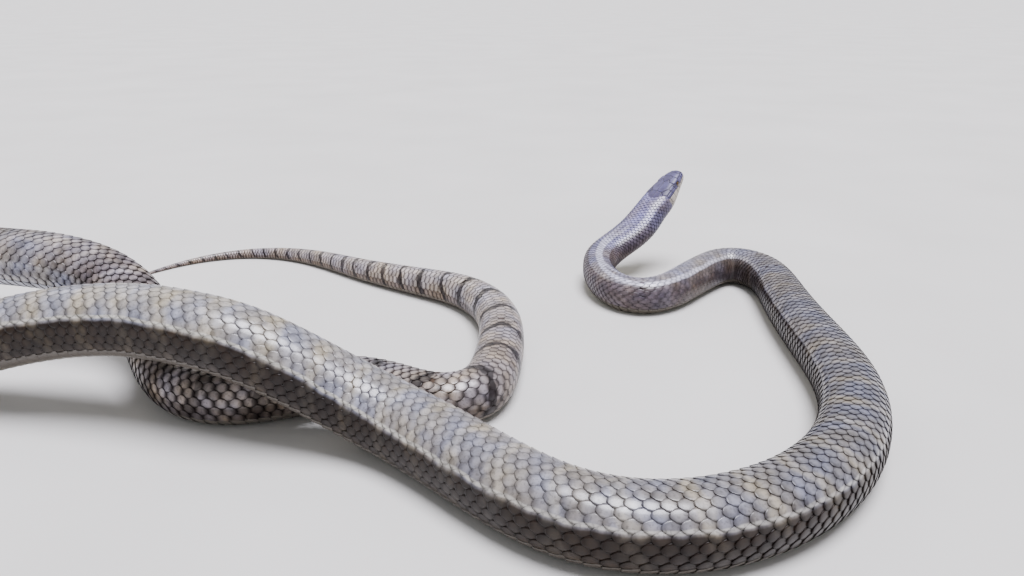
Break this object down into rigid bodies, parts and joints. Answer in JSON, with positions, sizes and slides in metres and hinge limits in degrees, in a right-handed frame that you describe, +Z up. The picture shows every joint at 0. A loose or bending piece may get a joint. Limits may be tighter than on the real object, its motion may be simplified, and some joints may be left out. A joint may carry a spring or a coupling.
{
  "type": "king cobra model",
  "caption": "Life-size king cobra lying in loose bends, its neck and head raised, for a natural history display.",
  "frame": {"origin": "middle of the footprint on the floor", "axes": "+X to the right as seen from the front, +Y to the back, where the head is, +Z up from the floor"},
  "size_m": [1.2258, 0.7686, 0.1404],
  "materials": {
    "head_skin": "smooth head shields, satin",
    "throat_skin": "pale throat shields, satin",
    "body_skin": "smooth scaled skin, satin",
    "tail_skin": "smooth scaled skin, satin",
    "eye": "dark polished eye"
  },
  "bodies": {
    "root": {"head": "head_skin", "lower_jaw": "throat_skin", "eye_left": "eye", "eye_right": "eye", "neck_1": "body_skin", "neck_2": "body_skin", "torso_01": "body_skin", "torso_02": "body_skin", "torso_03": "body_skin", "torso_04": "body_skin", "torso_05": "body_skin", "torso_06": "body_skin", "torso_07": "body_skin", "torso_08": "body_skin", "torso_09": "body_skin", "torso_10": "body_skin", "torso_11": "body_skin", "torso_12": "body_skin", "torso_13": "body_skin", "torso_14": "body_skin", "torso_15": "body_skin", "torso_16": "body_skin", "torso_17": "body_skin", "tail_1": "tail_skin", "tail_2": "tail_skin", "tail_3": "tail_skin", "tail_4": "tail_skin"}
  },
  "joints": []
}
